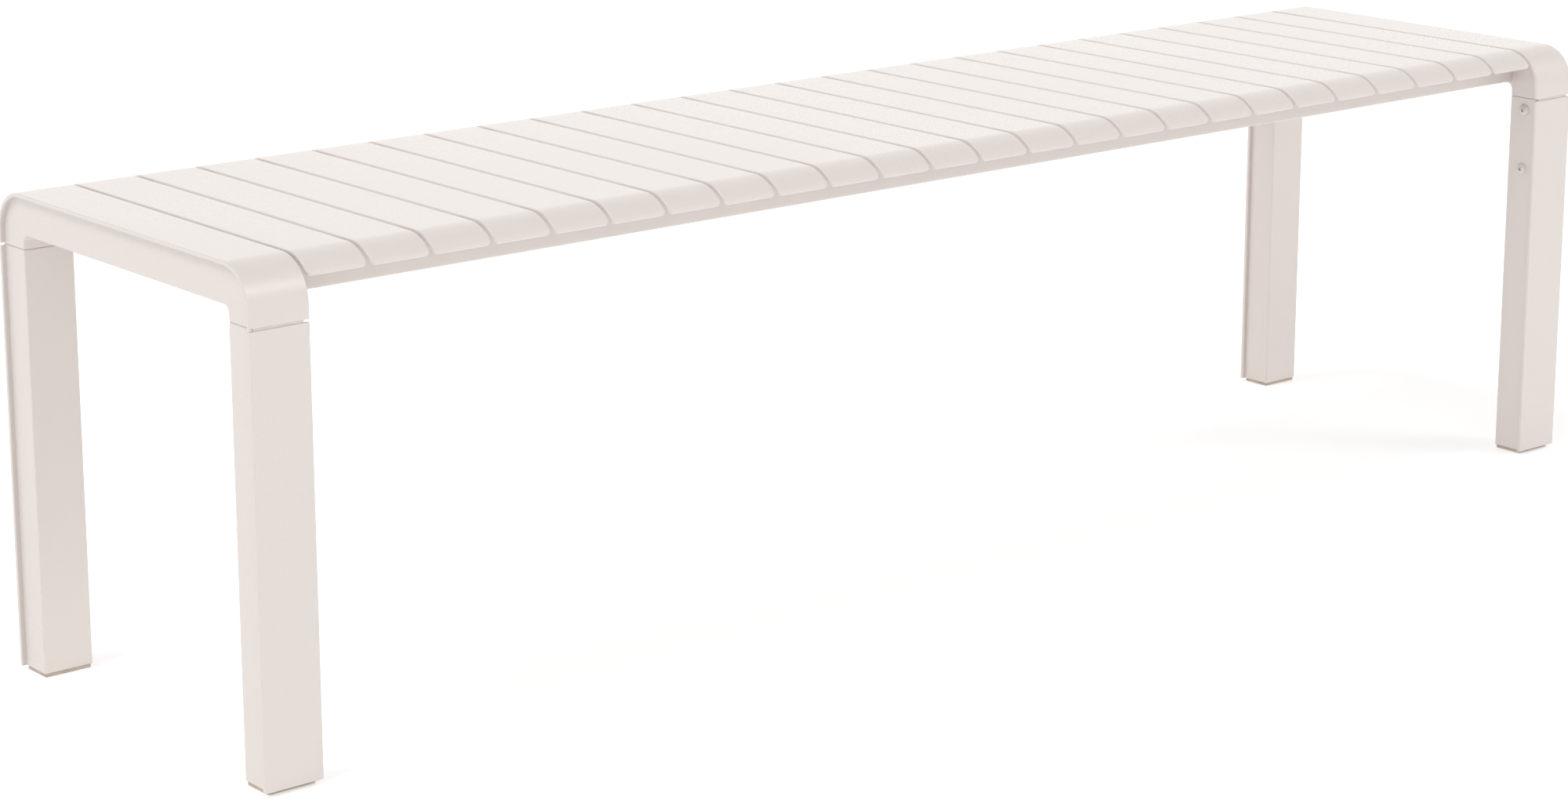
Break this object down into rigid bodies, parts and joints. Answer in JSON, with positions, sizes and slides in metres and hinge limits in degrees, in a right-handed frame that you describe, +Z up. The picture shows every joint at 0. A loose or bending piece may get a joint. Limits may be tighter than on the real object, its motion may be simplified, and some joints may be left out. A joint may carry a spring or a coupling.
{
  "type": "garden bench",
  "caption": "Backless garden bench: flat bent metal slats across two rails, held between two arched end frames on straight rectangular legs with screwed joints.",
  "frame": {"origin": "on the floor under the middle of the seat", "axes": "+X along the bench towards its right end as seen from the front, +Y to the back, +Z up; the front faces -Y"},
  "size_m": [1.75, 0.44, 0.47],
  "materials": {
    "powder_coat": "fine-textured satin powder coat, warm stone white",
    "slat_coat": "fine-textured satin powder coat, warm stone white",
    "coated_screw": "button heads coated to match the frame, slightly glossier",
    "cast_metal": "plain cast, matt",
    "glide_plastic": "moulded nylon, matt",
    "steel": "zinc-plated, satin"
  },
  "bodies": {
    "root": {"end_frame_left": "powder_coat", "end_frame_right": "powder_coat", "leg_front_left": "powder_coat", "leg_front_right": "powder_coat", "leg_back_left": "powder_coat", "leg_back_right": "powder_coat", "leg_connector_front_left": "cast_metal", "leg_connector_front_right": "cast_metal", "leg_connector_back_left": "cast_metal", "leg_connector_back_right": "cast_metal", "leg_screws_front_left": "coated_screw", "leg_screws_front_right": "coated_screw", "leg_screws_back_left": "coated_screw", "leg_screws_back_right": "coated_screw", "foot_glide_front_left": "glide_plastic", "foot_glide_front_right": "glide_plastic", "foot_glide_back_left": "glide_plastic", "foot_glide_back_right": "glide_plastic", "front_rail": "powder_coat", "back_rail": "powder_coat", "bracket_front_left": "powder_coat", "bracket_front_right": "powder_coat", "bracket_back_left": "powder_coat", "bracket_back_right": "powder_coat", "bracket_screws": "steel", "bracket_rivet_nuts": "steel", "slat_01": "slat_coat", "slat_02": "slat_coat", "slat_03": "slat_coat", "slat_04": "slat_coat", "slat_05": "slat_coat", "slat_06": "slat_coat", "slat_07": "slat_coat", "slat_08": "slat_coat", "slat_09": "slat_coat", "slat_10": "slat_coat", "slat_11": "slat_coat", "slat_12": "slat_coat", "slat_13": "slat_coat", "slat_14": "slat_coat", "slat_15": "slat_coat", "slat_16": "slat_coat", "slat_17": "slat_coat", "slat_18": "slat_coat", "slat_19": "slat_coat", "slat_20": "slat_coat", "slat_21": "slat_coat", "slat_22": "slat_coat", "slat_23": "slat_coat", "slat_24": "slat_coat", "slat_25": "slat_coat", "slat_screws_front": "steel", "slat_screws_back": "steel"}
  },
  "joints": []
}
